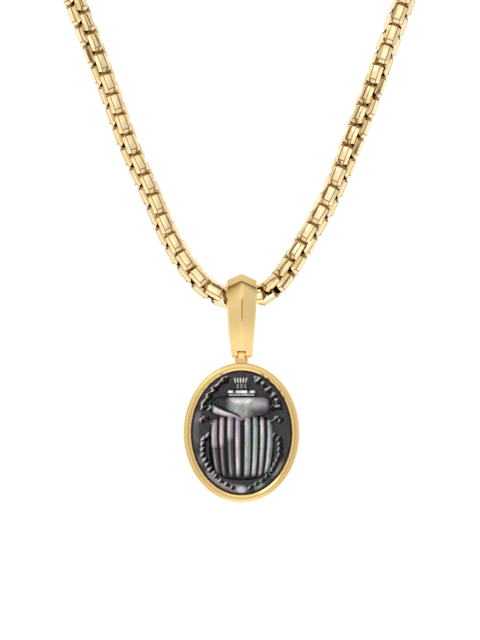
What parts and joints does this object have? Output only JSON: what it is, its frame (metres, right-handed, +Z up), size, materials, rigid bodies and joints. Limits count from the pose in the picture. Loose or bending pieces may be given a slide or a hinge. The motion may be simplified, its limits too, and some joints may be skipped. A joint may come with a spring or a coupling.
{
  "type": "scarab pendant necklace",
  "caption": "Oval gold pendant with a carved black mother-of-pearl scarab, hinged to a tapered bail on a closed box chain, lying face up.",
  "frame": {"origin": "centre of the bezel's flat back, which rests on the table", "axes": "+Y from the scarab's tail to its head and on to the bail and the chain, +Z up out of the carved face, +X to the right of the carved face"},
  "size_m": [0.0925, 0.2013, 0.0063],
  "materials": {
    "yellow_gold": "polished",
    "black_mother_of_pearl": "polished"
  },
  "bodies": {
    "necklace": {"bail": "yellow_gold", "chain_left_1": "yellow_gold", "chain_left_2": "yellow_gold", "chain_left_3": "yellow_gold", "chain_left_4": "yellow_gold", "chain_left_5": "yellow_gold", "chain_left_6": "yellow_gold", "chain_left_7": "yellow_gold", "chain_middle": "yellow_gold", "chain_right_1": "yellow_gold", "chain_right_2": "yellow_gold", "chain_right_3": "yellow_gold", "chain_right_4": "yellow_gold", "chain_right_5": "yellow_gold", "chain_right_6": "yellow_gold", "chain_right_7": "yellow_gold", "clasp_barrel": "yellow_gold", "clasp_cap": "yellow_gold", "hinge_pin": "yellow_gold"},
    "amulet": {"bezel": "yellow_gold", "scarab_stone": "black_mother_of_pearl"}
  },
  "joints": [
    {"name": "bail_hinge", "type": "hinge", "parent": "necklace", "child": "amulet", "pos_m": [0, 0.0131, 0.0016], "axis": [1, 0, 0], "range_deg": [-75, 85]}
  ]
}
